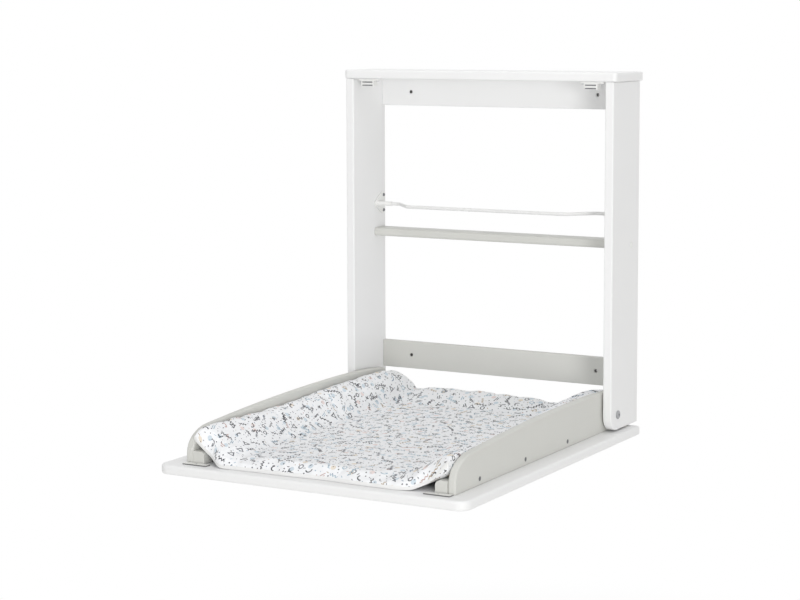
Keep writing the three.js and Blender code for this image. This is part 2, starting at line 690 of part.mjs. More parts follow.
// Steel keepers that the magnets hold, each with one screw, and felt pads that stop the open board
for (const [name, side] of sides) {
  const middle = side * catchFromMiddle;
  const outline = roundedRectangle(
    middle - keeperLength / 2, keeperMiddleY - keeperDepth / 2,
    middle + keeperLength / 2, keeperMiddleY + keeperDepth / 2, Array(4).fill(1.5),
  );
  const plate = slab(outline, keeperTop - keeperThickness, keeperTop, 0, 2);
  const screwPlace = keeperScrewAt(side);
  const screwHole = smallHole(-1, keeperThickness + 1, screwPlace, down);
  addPiece(board, `${name}_keeper_plate`, cut(plate, [screwHole]), 'steel');
  const pin = [
    [0, 0], [smallScrewRadius, 0], [smallScrewRadius, smallScrewLength - screwTip], [0, smallScrewLength],
  ];
  addPiece(board, `${name}_keeper_screw`, turned(pin, screwPlace, down), 'darkSteel');

  const padPlace = at(side * (frameWidth - panelThickness) / 2, -stopPadFromWall, boardTop);
  const pad = rod(stopPadRadius, jointGap, boardDrop - jointGap, padPlace, axisZ, 16);
  addPiece(board, `${name}_stop_pad`, pad, 'felt');
}

// Changing mat: one pad, flat in the middle, turned up along both cheeks and towards the wall.
const { clamp, lerp, smoothstep } = THREE.MathUtils;

// The raised sides leave the flat in a soft hollow. They are straight at the front and full at the rear.
function matTop(x, y) {
  const along = clamp((y - cheekFront) / (cheekRear - cheekFront), 0, 1);
  const flatHalf = cheekInner - lerp(matRaisedFront, matRaisedRear, Math.sqrt(along));
  const crest = cheekInner - matSideRound;
  const out = clamp((Math.abs(x) - flatHalf) / (crest - flatHalf), 0, 1);
  const straight = out ** 2 * (1 + matFootSoftness) / (out + matFootSoftness);
  const full = (1 - (1 - out) ** 2) ** 0.8;
  const sideHeight = lerp(matSideRiseFront, matSideRiseRear, along ** 2) - matThickness;
  const sideLift = sideHeight * lerp(straight, full, along);
  const rearEdge = -matRearFromWall;
  const rearLift = (matRearRise - matThickness) * smoothstep(y, rearEdge - matRearRun, rearEdge);
  const crown = matCrown * Math.max(0, 1 - (x / flatHalf) ** 2);
  return boardTop + matThickness + (sideLift ** 1.5 + rearLift ** 1.5) ** (1 / 1.5) + crown;
}

// The underside lies on the board and leans on the rounded corners of the battens.
function matBottom(x) {
  const leanHeight = battenHeight - battenRound * 0.2;
  const leanRun = battenInner + battenRound * 0.3 - matBottomHalf;
  return boardTop + 2 * jointGap + Math.max(0, (Math.abs(x) - matBottomHalf) * leanHeight / leanRun);
}

function matFront(x) {
  const across = Math.min(1, Math.abs(x) / matFlatHalf);
  const flat = cheekFront - matFrontReach + matFrontDraw * (1 - across ** 2);
  const turnUp = smoothstep(Math.abs(x), matFlatHalf, battenInner - battenRound);
  return lerp(flat, cheekFront + matCornerBack, turnUp);
}

// Thickness of the pad as a share of the full one: it falls off in a round towards the hem.
function matFullness(inset) {
  const hem = matHemThickness / matThickness;
  return hem + (1 - hem) * Math.sqrt(1 - (1 - clamp(inset, 0, 1)) ** 2);
}

// Grid lines crowd towards both rims, where the pad is round.
function rimSpaced(count, low, lowRound, high, highRound) {
  const start = low + lowRound;
  const pitch = (high - highRound - start) / (count - 7);
  const inner = Array.from({ length: count - 6 }, (_, i) => start + pitch * i);
  const lowRim = [0, 0.12, 0.45].map((t) => low + t * lowRound);
  const highRim = [0.45, 0.12, 0].map((t) => high - t * highRound);
  return [...lowRim, ...inner, ...highRim];
}

function changingMat() {
  const half = cheekInner - softGap;
  const rear = -matRearFromWall;
  const top = [];
  const bottom = [];
  for (const x of rimSpaced(matColumns, -half, matSideRound, half, matSideRound)) {
    const front = matFront(x);
    for (const y of rimSpaced(matRows, front, matFrontRound, rear, matRimRound)) {
      const sideInset = (half - Math.abs(x)) / matSideRound;
      const rearInset = (rear - y) / matRimRound;
      const frontInset = (y - front) / matFrontRound;
      const [high, low] = [matTop(x, y), matBottom(x)];
      const fullness = matFullness(sideInset) * matFullness(rearInset) * matFullness(frontInset);
      const loss = (high - low) * (1 - fullness);
      top.push(x, y, high - loss * (1 - matHemLift));
      bottom.push(x, y, low + loss * matHemLift);
    }
  }
  return stitched(top, bottom, matColumns, matRows);
}

// Joins two grids of points, one above the other, into one closed skin.
function stitched(top, bottom, columns, rows) {
  const faces = [];
  const under = columns * rows;
  const index = (i, j) => i * rows + j;
  const quad = (a, b, c, d) => faces.push(a, b, c, a, c, d);
  for (let i = 0; i + 1 < columns; i += 1) {
    for (let j = 0; j + 1 < rows; j += 1) {
      const [a, b, c, d] = [index(i, j), index(i + 1, j), index(i + 1, j + 1), index(i, j + 1)];
      quad(a, b, c, d);
      quad(under + d, under + c, under + b, under + a);
    }
  }
  const rim = [];
  for (let i = 0; i + 1 < columns; i += 1) rim.push(index(i, 0));
  for (let j = 0; j + 1 < rows; j += 1) rim.push(index(columns - 1, j));
  for (let i = columns - 1; i > 0; i -= 1) rim.push(index(i, rows - 1));
  for (let j = rows - 1; j > 0; j -= 1) rim.push(index(0, j));
  rim.forEach((a, k) => {
    const b = rim[(k + 1) % rim.length];
    quad(under + a, under + b, b, a);
  });
  const geometry = new THREE.BufferGeometry();
  geometry.setAttribute('position', new THREE.Float32BufferAttribute([...top, ...bottom], 3));
  geometry.setIndex(faces);
  return geometry;
}
addPiece(board, 'changing_mat', changingMat(), 'cotton');

changingTable.position.z = -originHeight;

export default changingTable;
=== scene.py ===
import json
import math
import bpy
import numpy as np
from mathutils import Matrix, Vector


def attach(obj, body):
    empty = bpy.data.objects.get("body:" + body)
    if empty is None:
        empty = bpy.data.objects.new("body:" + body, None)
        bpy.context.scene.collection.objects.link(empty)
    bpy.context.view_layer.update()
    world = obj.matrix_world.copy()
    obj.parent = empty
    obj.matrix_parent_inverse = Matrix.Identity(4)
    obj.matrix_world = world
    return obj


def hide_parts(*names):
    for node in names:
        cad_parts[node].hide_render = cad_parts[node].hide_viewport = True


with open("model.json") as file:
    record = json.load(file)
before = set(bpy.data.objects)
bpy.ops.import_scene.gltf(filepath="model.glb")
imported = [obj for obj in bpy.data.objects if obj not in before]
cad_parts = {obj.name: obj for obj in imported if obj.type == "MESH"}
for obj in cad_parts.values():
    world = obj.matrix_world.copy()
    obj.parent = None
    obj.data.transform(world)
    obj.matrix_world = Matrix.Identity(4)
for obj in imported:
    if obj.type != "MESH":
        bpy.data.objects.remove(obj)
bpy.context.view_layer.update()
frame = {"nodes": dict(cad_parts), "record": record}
scene = bpy.context.scene
scene.view_settings.view_transform = "Standard"
print("frame loaded:", len(frame["nodes"]), "nodes")


def clearSelection():
    if bpy.context.mode != "OBJECT":
        bpy.ops.object.mode_set(mode="OBJECT")
    bpy.ops.object.select_all(action="DESELECT")


def workOn(piece):
    clearSelection()
    piece.select_set(True)
    bpy.context.view_layer.objects.active = piece


def pointsOf(piece):
    flat = np.zeros(len(piece.data.vertices) * 3)
    piece.data.vertices.foreach_get("co", flat)
    return flat.reshape(-1, 3)


def setPoints(piece, points):
    piece.data.vertices.foreach_set("co", np.asarray(points, float).ravel())
    piece.data.update()


def normalsOf(piece):
    flat = np.zeros(len(piece.data.vertices) * 3)
    piece.data.vertices.foreach_get("normal", flat)
    return flat.reshape(-1, 3)


def easeBetween(value, low, high):
    share = np.clip((value - low) / (high - low), 0, 1)
    return share * share * (3 - 2 * share)


# node helpers: put makes a node, calc and calcVector wire up sums
def put(tree, kind, settings=None, sockets=None):
    made = tree.nodes.new("ShaderNode" + kind)
    for name, value in (settings or {}).items():
        setattr(made, name, value)
    for name, value in (sockets or {}).items():
        feed(tree, made.inputs[name], value)
    return made


def feed(tree, socket, value):
    if isinstance(value, bpy.types.NodeSocket):
        tree.links.new(value, socket)
    else:
        socket.default_value = value


def calc(tree, operation, *values):
    made = put(tree, "Math", {"operation": operation})
    for socket, value in zip(made.inputs, values):
        feed(tree, socket, value)
    return made.outputs[0]


def calcVector(tree, operation, *values):
    made = put(tree, "VectorMath", {"operation": operation})
    for socket, value in zip(made.inputs, values):
        feed(tree, socket, value)
    return made.outputs[0]


def fromMiddle(tree, x, y):
    return calc(tree, "SQRT", calc(tree, "ADD", calc(tree, "MULTIPLY", x, x), calc(tree, "MULTIPLY", y, y)))


def mixColour(tree, share, first, second, blend="MIX"):
    made = put(tree, "Mix", {"data_type": "RGBA", "blend_type": blend})
    feed(tree, made.inputs[0], share)
    feed(tree, made.inputs[6], first)
    feed(tree, made.inputs[7], second)
    return made.outputs[2]


def spread(tree, value, low, high):
    made = put(tree, "MapRange", None, {"Value": value, "To Min": low, "To Max": high})
    return made.outputs["Result"]


def newGroup(name, inputs, outputs):
    group = bpy.data.node_groups.new(name, "ShaderNodeTree")
    for label, kind, value in inputs:
        socket = group.interface.new_socket(name=label, in_out="INPUT", socket_type="NodeSocket" + kind)
        socket.default_value = value
    for label, kind in outputs:
        group.interface.new_socket(name=label, in_out="OUTPUT", socket_type="NodeSocket" + kind)
    return group, group.nodes.new("NodeGroupInput"), group.nodes.new("NodeGroupOutput")


def placeGroup(tree, group, values):
    made = put(tree, "Group", {"node_tree": group})
    for name, value in values.items():
        feed(tree, made.inputs[name], value)
    return made


def newMaterial(name):
    material = bpy.data.materials.new(name)
    material.use_nodes = True
    return material, material.node_tree, material.node_tree.nodes["Principled BSDF"]


def srgb(red, green, blue):
    def linear(part):
        part = part / 255
        return part / 12.92 if part <= 0.04045 else ((part + 0.055) / 1.055) ** 2.4
    return (linear(red), linear(green), linear(blue), 1)


photoView = {
    "place": (1.8545, -3.6807, 0.12905),
    "tilt": 84.0,
    "turn": 28.298,
    "lens": 90.45,
    "shift": (-0.0622, -0.0738),
}


def addCamera(values):
    clearSelection()
    turn = (math.radians(values["tilt"]), 0, math.radians(values["turn"]))
    bpy.ops.object.camera_add(location=values["place"], rotation=turn)
    camera = bpy.context.object
    camera.name = "photoCamera"
    camera.data.sensor_fit = "HORIZONTAL"
    camera.data.sensor_width = 36
    camera.data.lens = values["lens"]
    camera.data.shift_x, camera.data.shift_y = values["shift"]
    scene.camera = camera


studio = {
    "roomLight": 0.53,            # light from all round
    "lamps": [                    # name, place, aim, width, height, power
        ("keyLight", (4.80, -5.35, -0.45), (0.0, -0.20, -0.35), 1.7, 2.0, 164.0),
        ("frontLight", (-0.9, -7.00, 0.15), (0.0, -0.35, -0.30), 3.8, 3.8, 41.5),
        ("topLight", (0.1, -0.7, 2.3), (0.0, -0.45, -0.60), 2.0, 2.0, 24.0),
    ],
    "floorHeight": -1.53,         # the board then hangs at the usual height over the floor
    "floorSize": 30.0,
    "floorColour": srgb(244, 244, 242),
    "floorShade": (0.6, 1.9),     # the shadow shows fully within the first radius and is gone at the second
    "floorWhite": 0.55,           # share of plain white that the camera sees where the shadow lies
}


def backdropRays(tree):
    path = put(tree, "LightPath")
    seen = calc(tree, "MAXIMUM", path.outputs["Is Camera Ray"], path.outputs["Is Glossy Ray"])
    return calc(tree, "MAXIMUM", seen, path.outputs["Is Transmission Ray"])


def setRoom(values):
    room = bpy.data.worlds.new("softRoom")
    scene.world = room
    room.use_nodes = True
    tree = room.node_tree
    background = tree.nodes["Background"]
    background.inputs["Color"].default_value = (1, 1, 1, 1)
    feed(tree, background.inputs["Strength"], spread(tree, backdropRays(tree), values["roomLight"], 1.0))
    for name, place, aim, width, height, power in values["lamps"]:
        clearSelection()
        turn = (Vector(aim) - Vector(place)).to_track_quat("-Z", "Y").to_euler()
        bpy.ops.object.light_add(type="AREA", location=place, rotation=turn)
        lamp = bpy.context.object
        lamp.name = name
        lamp.data.shape = "RECTANGLE"
        lamp.data.size, lamp.data.size_y = width, height
        lamp.data.energy = power


def layFloor(values):
    clearSelection()
    bpy.ops.mesh.primitive_plane_add(size=values["floorSize"], location=(0, 0, values["floorHeight"]))
    floor = bpy.context.object
    floor.name = "floor"
    bpy.ops.object.transform_apply(location=True)
    material, tree, shader = newMaterial("paleFloor")
    shader.inputs["Base Color"].default_value = values["floorColour"]
    shader.inputs["Roughness"].default_value = 0.9
    shader.inputs["Specular IOR Level"].default_value = 0.0
    place = put(tree, "TexCoord").outputs["Object"]
    away = calcVector(tree, "LENGTH", calcVector(tree, "MULTIPLY", place, (1, 1, 0))).node.outputs["Value"]
    near, far = values["floorShade"]
    white = put(tree, "MapRange", {"interpolation_type": "SMOOTHSTEP"}, {
        "Value": away, "From Min": near, "From Max": far, "To Min": values["floorWhite"], "To Max": 1.0})
    glow = put(tree, "Emission")
    both = put(tree, "MixShader")
    feed(tree, both.inputs[0], calc(tree, "MULTIPLY", backdropRays(tree), white.outputs[0]))
    feed(tree, both.inputs[1], shader.outputs[0])
    feed(tree, both.inputs[2], glow.outputs[0])
    feed(tree, tree.nodes["Material Output"].inputs["Surface"], both.outputs[0])
    floor.data.materials.append(material)


addCamera(photoView)
setRoom(studio)
layFloor(studio)
print("camera and studio set")


def makeCoatGroup():
    # sprayed paint: faint clouding of the tone, uneven gloss, orange peel
    group, given, out = newGroup("sprayedCoat", [
        ("Colour", "Color", (0.8, 0.8, 0.8, 1)), ("Clouding", "Float", 0.03), ("Peel Size", "Float", 900.0),
        ("Gloss Low", "Float", 0.3), ("Gloss High", "Float", 0.4)],
        [("Colour", "Color"), ("Roughness", "Float"), ("Height", "Float")])
    place = put(group, "TexCoord").outputs["Object"]
    cloud = put(group, "TexNoise", None, {"Vector": place, "Scale": 7.0, "Detail": 3.0})
    gloss = put(group, "TexNoise", None, {"Vector": place, "Scale": 26.0, "Detail": 4.0})
    peel = put(group, "TexNoise", None, {"Vector": place, "Scale": given.outputs["Peel Size"], "Detail": 1.0})
    dark = calc(group, "MULTIPLY", calc(group, "SUBTRACT", cloud.outputs[0], 0.5), given.outputs["Clouding"])
    tone = calc(group, "ADD", dark, 1.0)
    grey = put(group, "CombineColor", None, {"Red": tone, "Green": tone, "Blue": tone})
    feed(group, out.inputs["Colour"], mixColour(group, 1.0, given.outputs["Colour"], grey.outputs[0], "MULTIPLY"))
    shine = put(group, "MapRange", None, {"Value": gloss.outputs[0], "From Min": 0.3, "From Max": 0.7,
                                          "To Min": given.outputs["Gloss Low"],
                                          "To Max": given.outputs["Gloss High"]})
    feed(group, out.inputs["Roughness"], shine.outputs[0])
    feed(group, out.inputs["Height"], peel.outputs[0])
    return group


def makePlatingGroup():
    # plated or turned metal: fine scratches and a cloudy tone
    group, given, out = newGroup("platedMetal", [
        ("Colour", "Color", (0.6, 0.6, 0.6, 1)), ("Scratch Size", "Float", 1800.0),
        ("Gloss Low", "Float", 0.25), ("Gloss High", "Float", 0.45)],
        [("Colour", "Color"), ("Roughness", "Float"), ("Height", "Float")])
    place = put(group, "TexCoord").outputs["Object"]
    drawn = put(group, "Mapping", None, {"Vector": place, "Scale": (1.0, 1.0, 0.06)})
    scratch = put(group, "TexNoise", None, {"Vector": drawn.outputs[0], "Detail": 2.0,
                                            "Scale": given.outputs["Scratch Size"]})
    cloud = put(group, "TexNoise", None, {"Vector": place, "Scale": 160.0, "Detail": 3.0})
    tone = spread(group, cloud.outputs[0], 0.82, 1.12)
    grey = put(group, "CombineColor", None, {"Red": tone, "Green": tone, "Blue": tone})
    feed(group, out.inputs["Colour"], mixColour(group, 1.0, given.outputs["Colour"], grey.outputs[0], "MULTIPLY"))
    shine = put(group, "MapRange", None, {"Value": scratch.outputs[0], "From Min": 0.3, "From Max": 0.7,
                                          "To Min": given.outputs["Gloss Low"],
                                          "To Max": given.outputs["Gloss High"]})
    feed(group, out.inputs["Roughness"], shine.outputs[0])
    feed(group, out.inputs["Height"], scratch.outputs[0])
    return group


def makeWeaveGroup():
    # plain weave, read along the cloth's own directions in metres; its tone is darker in the low places as
    # painted shade
    group, given, out = newGroup("plainWeave", [
        ("Along", "Vector", (0, 0, 0)), ("Threads", "Float", 1400.0), ("Slub", "Float", 0.06)],
        [("Height", "Float"), ("Tone And Shade", "Float")])
    threads = calcVector(group, "SCALE", given.outputs["Along"])
    feed(group, threads.node.inputs["Scale"], given.outputs["Threads"])
    parts = put(group, "SeparateXYZ", None, {"Vector": threads})
    across = calc(group, "PINGPONG", parts.outputs["X"], 0.5)
    along = calc(group, "PINGPONG", parts.outputs["Y"], 0.5)
    over = put(group, "TexChecker", None, {"Vector": threads, "Scale": 1.0})
    height = put(group, "Mix", None, {0: over.outputs["Fac"], 2: across, 3: along})
    slub = put(group, "TexNoise", None, {"Vector": given.outputs["Along"], "Scale": 220.0, "Detail": 3.0})
    uneven = calc(group, "MULTIPLY", calc(group, "SUBTRACT", slub.outputs[0], 0.5), given.outputs["Slub"])
    # painted shade: darker where the weave lies low between the threads
    pitShade = calc(group, "MULTIPLY", calc(group, "SUBTRACT", height.outputs[0], 0.25), 0.08)
    feed(group, out.inputs["Height"], height.outputs[0])
    feed(group, out.inputs["Tone And Shade"], calc(group, "ADD", calc(group, "ADD", uneven, pitShade), 1.0))
    return group


coatGroup = makeCoatGroup()
platingGroup = makePlatingGroup()
weaveGroup = makeWeaveGroup()


def bumpInto(tree, shader, height, strength, distance):
    bump = put(tree, "Bump", None, {"Strength": strength, "Distance": distance, "Height": height})
    feed(tree, shader.inputs["Normal"], bump.outputs[0])


coats = {
    "white_lacquer": {"colour": srgb(243, 243, 243), "clouding": 0.03, "peel": 800.0,
                      "gloss": (0.34, 0.46), "bump": 0.12, "specular": 0.4},
    "grey_lacquer": {"colour": srgb(212, 212, 207), "clouding": 0.04, "peel": 800.0,
                     "gloss": (0.36, 0.50), "bump": 0.14, "specular": 0.4},
    "white_wire": {"colour": srgb(236, 236, 235), "clouding": 0.03, "peel": 1500.0,
                   "gloss": (0.26, 0.36), "bump": 0.20, "specular": 0.5},
    "white_plastic": {"colour": srgb(240, 240, 238), "clouding": 0.02, "peel": 2600.0,
                      "gloss": (0.30, 0.42), "bump": 0.15, "specular": 0.5},
    "nylon": {"colour": srgb(229, 228, 220), "clouding": 0.05, "peel": 2200.0,
              "gloss": (0.45, 0.60), "bump": 0.20, "specular": 0.4},
}
platings = {
    "zinc_steel": {"colour": srgb(226, 227, 228), "scratch": 2600.0, "gloss": (0.30, 0.48), "metal": 1.0},
    "dark_steel": {"colour": srgb(118, 119, 122), "scratch": 2600.0, "gloss": (0.28, 0.48), "metal": 1.0},
    "keeper_steel": {"colour": srgb(234, 234, 231), "scratch": 2600.0, "gloss": (0.42, 0.58), "metal": 0.3},
    "bolt_steel": {"colour": srgb(174, 175, 177), "scratch": 2600.0, "gloss": (0.28, 0.44), "metal": 1.0},
    "brass": {"colour": srgb(206, 176, 108), "scratch": 2200.0, "gloss": (0.24, 0.44), "metal": 1.0},
    "magnet_ferrite": {"colour": srgb(66, 66, 70), "scratch": 1400.0, "gloss": (0.55, 0.75), "metal": 0.2},
}
felt = {"colour": srgb(176, 174, 168), "fibre": 1700.0}


wallHoles = {                     # drilled through the lacquered rails: raw board shows inside, painted dark as the shade deep in the bores
    "rails": {"upper_rail": 0.0, "lower_rail": -0.5563},        # height of each rail's holes
    "fromMiddle": 0.2135,
    "radius": 0.0042,
    "lacquerTo": -0.0102,         # the countersinks are lacquered; the bores behind them get raw board with painted shade
    "shadedRawBoard": srgb(60, 54, 50),
}


def coatMaterial(name, values, holeHeight=None):
    material, tree, shader = newMaterial(name)
    coat = placeGroup(tree, coatGroup, {
        "Colour": values["colour"], "Clouding": values["clouding"], "Peel Size": values["peel"],
        "Gloss Low": values["gloss"][0], "Gloss High": values["gloss"][1]})
    colour = coat.outputs["Colour"]
    # inside the bores the colour turns to raw board, darkened as painted shade
    if holeHeight is not None:
        place = put(tree, "SeparateXYZ", None, {"Vector": put(tree, "TexCoord").outputs["Object"]})
        across = calc(tree, "SUBTRACT", calc(tree, "ABSOLUTE", place.outputs["X"]), wallHoles["fromMiddle"])
        up = calc(tree, "SUBTRACT", place.outputs["Z"], holeHeight)
        inHole = calc(tree, "LESS_THAN", fromMiddle(tree, across, up), wallHoles["radius"])
        deep = calc(tree, "GREATER_THAN", place.outputs["Y"], wallHoles["lacquerTo"])
        colour = mixColour(tree, calc(tree, "MULTIPLY", inHole, deep), colour, wallHoles["shadedRawBoard"])
    feed(tree, shader.inputs["Base Color"], colour)
    feed(tree, shader.inputs["Roughness"], coat.outputs["Roughness"])
    shader.inputs["Specular IOR Level"].default_value = values["specular"]
    bumpInto(tree, shader, coat.outputs["Height"], values["bump"], 0.0002)
    return material


keeperEdge = {                    # a dark rim is painted round the keepers: painted shade along their edges
    "middle": (0.250, -0.7417),
    "half": (0.026, 0.0075),
    "edgeShade": srgb(106, 106, 106),
}


def platingMaterial(name, values, edge=None):
    material, tree, shader = newMaterial(name)
    plate = placeGroup(tree, platingGroup, {
        "Colour": values["colour"], "Scratch Size": values["scratch"],
        "Gloss Low": values["gloss"][0], "Gloss High": values["gloss"][1]})
    colour = plate.outputs["Colour"]
    # painted shade: the keeper's top turns dark in a thin band along its edges
    if edge:
        place = put(tree, "SeparateXYZ", None, {"Vector": put(tree, "TexCoord").outputs["Object"]})
        across = calc(tree, "SUBTRACT", calc(tree, "ABSOLUTE", place.outputs["X"]), edge["middle"][0])
        along = calc(tree, "SUBTRACT", place.outputs["Y"], edge["middle"][1])
        out = calc(tree, "MAXIMUM",
                   calc(tree, "SUBTRACT", calc(tree, "ABSOLUTE", across), edge["half"][0]),
                   calc(tree, "SUBTRACT", calc(tree, "ABSOLUTE", along), edge["half"][1]))
        colour = mixColour(tree, calc(tree, "GREATER_THAN", out, -0.0003), colour, edge["edgeShade"])
    feed(tree, shader.inputs["Base Color"], colour)
    feed(tree, shader.inputs["Roughness"], plate.outputs["Roughness"])
    shader.inputs["Metallic"].default_value = values["metal"]
    bumpInto(tree, shader, plate.outputs["Height"], 0.2, 0.0001)
    return material


def feltMaterial(name, values):
    material, tree, shader = newMaterial(name)
    place = put(tree, "TexCoord").outputs["Object"]
    fibre = put(tree, "TexNoise", None, {"Vector": place, "Scale": values["fibre"], "Detail": 5.0})
    tone = spread(tree, fibre.outputs[0], 0.75, 1.2)
    grey = put(tree, "CombineColor", None, {"Red": tone, "Green": tone, "Blue": tone})
    feed(tree, shader.inputs["Base Color"], mixColour(tree, 1.0, values["colour"], grey.outputs[0], "MULTIPLY"))
    shader.inputs["Roughness"].default_value = 0.95
    shader.inputs["Sheen Weight"].default_value = 0.3
    bumpInto(tree, shader, fibre.outputs[0], 0.6, 0.0004)
    return material


finishes = {name: coatMaterial(name, values) for name, values in coats.items()}
finishes.update({name: platingMaterial(name, values) for name, values in platings.items()})
finishes["felt"] = feltMaterial("felt", felt)
finishes["keeper_steel"] = platingMaterial("keeper_steel", platings["keeper_steel"], keeperEdge)

for part in frame["record"]["subparts"]:
    finish = finishes.get(part["material_slot"])
    if part["node"] in wallHoles["rails"]:
        finish = coatMaterial(part["node"], coats[part["material_slot"]], wallHoles["rails"][part["node"]])
    if part["node"].endswith("keeper_plate"):
        finish = finishes["keeper_steel"]
    if part["node"].endswith("pivot_bolt"):
        finish = finishes["bolt_steel"]
    if finish:
        for holder in frame["nodes"][part["node"]].material_slots:
            holder.material = finish
print("hard parts finished:", len(finishes), "materials")


wireShape = {
    "radius": 0.0028,
    "coatRadius": 0.0035,     # the plastic coat ends just outside the sockets
    "coatFrom": 0.2424,
    "sides": 20,
    "height": -0.23385,
    "endReach": 0.2724,       # half its length, into the sockets
    "endDepth": -0.041,
    "middleDepth": -0.091,
    "bendOuter": 0.224,       # where the corners of the bends lie
    "bendInner": 0.178,
    "bendRound": 0.009,
    "bendSteps": 7,
}


def ringCentre():
    bpy.ops.object.mode_set(mode="OBJECT")
    data = bpy.context.object.data
    picked = [vertex.co.copy() for vertex in data.vertices if vertex.select]
    bpy.ops.object.mode_set(mode="EDIT")
    return sum(picked, Vector()) / len(picked)


def runTo(goal):
    step = Vector(goal) - ringCentre()
    bpy.ops.mesh.extrude_region_move(TRANSFORM_OT_translate={"value": step})


def coatStep(x, values, share):
    # a short step in thickness, at the end of the coat
    runTo((x, values["endDepth"], values["height"]))
    runTo((x - 0.0004, values["endDepth"], values["height"]))
    bpy.ops.transform.resize(value=(1, share, share), center_override=ringCentre())


def makeGuardWire(values):
    clearSelection()
    start = (values["endReach"], values["endDepth"], values["height"])
    bpy.ops.mesh.primitive_circle_add(vertices=values["sides"], radius=values["radius"], location=start,
                                      rotation=(0, math.radians(90), 0))
    wire = bpy.context.object
    wire.name = "guardWire"
    bpy.ops.object.transform_apply(location=True, rotation=True, scale=True)
    slant = Vector((values["bendInner"] - values["bendOuter"], values["middleDepth"] - values["endDepth"], 0))
    turn = math.atan2(-slant.y, -slant.x)
    cutBack = values["bendRound"] * math.tan(turn / 2)
    along = slant.normalized()
    corners = [
        (Vector((values["bendOuter"], values["endDepth"], values["height"])), Vector((-1, 0, 0)), 1),
        (Vector((values["bendInner"], values["middleDepth"], values["height"])), along, -1),
        (Vector((-values["bendInner"], values["middleDepth"], values["height"])), Vector((-1, 0, 0)), -1),
        (Vector((-values["bendOuter"], values["endDepth"], values["height"])), Vector((along.x, -along.y, 0)), 1),
    ]
    bpy.ops.object.mode_set(mode="EDIT")
    bpy.ops.mesh.select_all(action="SELECT")
    thicker = values["coatRadius"] / values["radius"]
    coatStep(values["coatFrom"], values, thicker)
    for corner, heading, hand in corners:
        runTo(corner - heading * cutBack)
        side = Vector((-heading.y, heading.x, 0)) * hand      # towards the centre of the bend
        bpy.ops.mesh.spin(steps=values["bendSteps"], angle=-turn * hand,
                          center=ringCentre() + side * values["bendRound"], axis=(0, 0, 1))
    coatStep(-values["coatFrom"], values, 1 / thicker)
    runTo((-values["endReach"], values["endDepth"], values["height"]))
    bpy.ops.mesh.select_all(action="SELECT")
    bpy.ops.mesh.remove_doubles(threshold=1e-6)
    bpy.ops.mesh.fill_holes(sides=0)
    bpy.ops.mesh.normals_make_consistent(inside=False)
    bpy.ops.object.mode_set(mode="OBJECT")
    bpy.ops.object.shade_smooth_by_angle(angle=math.radians(40))
    wire.data.materials.append(finishes["white_wire"])
    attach(wire, "frame")
    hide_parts("guard_wire")
    return wire


guardWire = makeGuardWire(wireShape)
print("guard wire bent:", len(guardWire.data.vertices), "points")

matShape = {
    "boardTop": -0.65625,
    "cheekFront": -0.7333,
    "halfWidth": 0.2622,
    "rearEdge": -0.0294,
    "thickness": 0.0185,
    # places along the mat, then for its raised sides: foot, crest, height over the flat middle
    "sideLine": [(-0.7333, 0.1580, 0.2530, 0.0440), (-0.690, 0.1630, 0.2520, 0.0490),
                 (-0.650, 0.1670, 0.2510, 0.0512), (-0.610, 0.1710, 0.2500, 0.0500),
                 (-0.560, 0.1740, 0.2500, 0.0478), (-0.500, 0.1770, 0.2490, 0.0466),
                 (-0.450, 0.1785, 0.2470, 0.0466), (-0.400, 0.1800, 0.2450, 0.0485),
                 (-0.345, 0.1810, 0.2430, 0.0514), (-0.296, 0.1820, 0.2410, 0.0545),
                 (-0.240, 0.1830, 0.2390, 0.0580), (-0.180, 0.1840, 0.2380, 0.0598),
                 (-0.120, 0.1855, 0.2380, 0.0598), (-0.080, 0.1860, 0.2380, 0.0575),
                 (-0.050, 0.1870, 0.2380, 0.0530), (-0.029, 0.1870, 0.2380, 0.0490)],
    "rollFrom": (-0.45, -0.06),  # the sides turn from a plain slope to a round roll along here
    "rearFoot": -0.124,          # where the rear rim starts to rise
    # places across the mat, height of the rear rim over the flat middle
    "rearLine": [(-0.187, 0.0165), (-0.172, 0.0180), (-0.146, 0.0200), (-0.040, 0.0215), (0.020, 0.0205),
                 (0.053, 0.0198), (0.084, 0.0183), (0.108, 0.0164), (0.128, 0.0145), (0.187, 0.0120)],
    "crown": 0.003,
    "leanFrom": 0.195,           # from here out the sides lean on the battens
    "leanSlope": 0.4423,
    "frontReach": (0.0152, 0.0135),  # ahead of the cheeks, to the left and to the right of the middle
    "frontDraw": 0.004,
    "frontFlat": (0.192, 0.158),
    "cornerFrom": 0.2311,
    "cornerBack": 0.0030,
    "hem": 0.0036,
    "hemLift": 0.02,             # how far up in the pad's thickness the hem lies, and more at the corners
    "cornerLift": (0.46, 0.72),  # to the left and to the right
    "cornerLiftFrom": 0.215,
    "sideHem": (0.0200, 0.0280),  # at the front and at the rear
    "rimRound": 0.009,
    "frontRound": 0.026,
    "columns": 84,
    "rows": 112,
    "slack": 0.0022,             # the starting shape is lower by this, and swells
    "waves": 0.0010,
    "pressure": 4.0,
    "swellCap": 0.0045,
    "frames": 20,
    "seamDepth": 0.0016,
    "seamWidth": 0.0055,
}


def matFront(x, v=matShape):
    flatTo = np.where(np.asarray(x) < 0, *v["frontFlat"])
    across = np.minimum(1, np.abs(x) / flatTo)
    reach = v["frontReach"][1] + (v["frontReach"][0] - v["frontReach"][1]) * easeBetween(-x, -0.05, 0.12)
    flat = v["cheekFront"] - reach + v["frontDraw"] * (1 - across ** 2)
    flat = flat + 0.0013 * np.sin(x * 41 + 0.8) * (1 - across ** 4)      # the hem lies a little wavy
    corner = v["cheekFront"] + v["cornerBack"]
    return flat + (corner - flat) * easeBetween(np.abs(x), flatTo, v["cornerFrom"])


def sideLine(y, v=matShape):
    places, *lines = np.array(v["sideLine"]).T
    # each value is averaged over a short way, so that the lines bend softly
    return [sum(np.interp(y + step, places, values) for step in (-0.03, 0, 0.03)) / 3 for values in lines]


